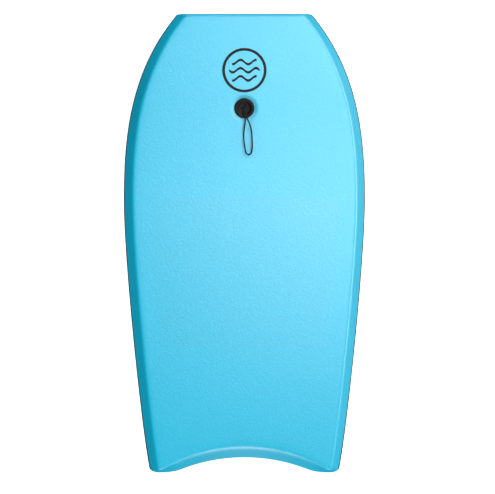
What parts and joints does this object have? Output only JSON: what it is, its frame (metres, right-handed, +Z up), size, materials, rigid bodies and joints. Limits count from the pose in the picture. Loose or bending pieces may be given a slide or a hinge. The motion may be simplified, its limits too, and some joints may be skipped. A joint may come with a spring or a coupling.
{
  "type": "bodyboard",
  "caption": "Foam bodyboard with bevelled chines, black rail lips, a hollow crescent tail and a round leash plug with its string loop.",
  "frame": {"origin": "on the floor under the board, midway along its length and midway across its width", "axes": "+Y along the board towards the nose, +X to the right of a rider lying on the deck, +Z up out of the deck"},
  "size_m": [0.5612, 1.067, 0.0874],
  "materials": {
    "core_foam": "closed-cell foam, cut faces",
    "glass_tube": "pultruded glass fibre",
    "soft_cap": "soft moulded rubber",
    "deck_foam": "crosslinked foam sheet with a fine pebbled skin",
    "rail_foam": "dense foam strip with a smooth skin",
    "bumper_foam": "dense foam strip with a smooth skin",
    "slick_sheet": "smooth extruded sheet",
    "black_nylon": "satin moulded nylon",
    "blue_nylon": "satin moulded nylon",
    "black_cord": "tightly braided polyester cord"
  },
  "bodies": {
    "board": {"foam_core": "core_foam", "stringer_tube": "glass_tube", "stringer_cap_front": "soft_cap", "stringer_cap_rear": "soft_cap", "deck_skin": "deck_foam", "rail_left": "rail_foam", "rail_right": "rail_foam", "nose_bumper": "bumper_foam", "tail_bumper": "bumper_foam", "slick_bottom": "slick_sheet", "leash_plug_top": "black_nylon", "leash_plug_bottom": "blue_nylon"},
    "string": {"leash_hitch": "black_cord", "leash_loop": "black_cord"}
  },
  "joints": [
    {"name": "string_swing", "type": "hinge", "parent": "board", "child": "string", "pos_m": [0, 0.3144, 0.06739], "axis": [-1, 0, 0], "range_deg": [0, 130]}
  ]
}
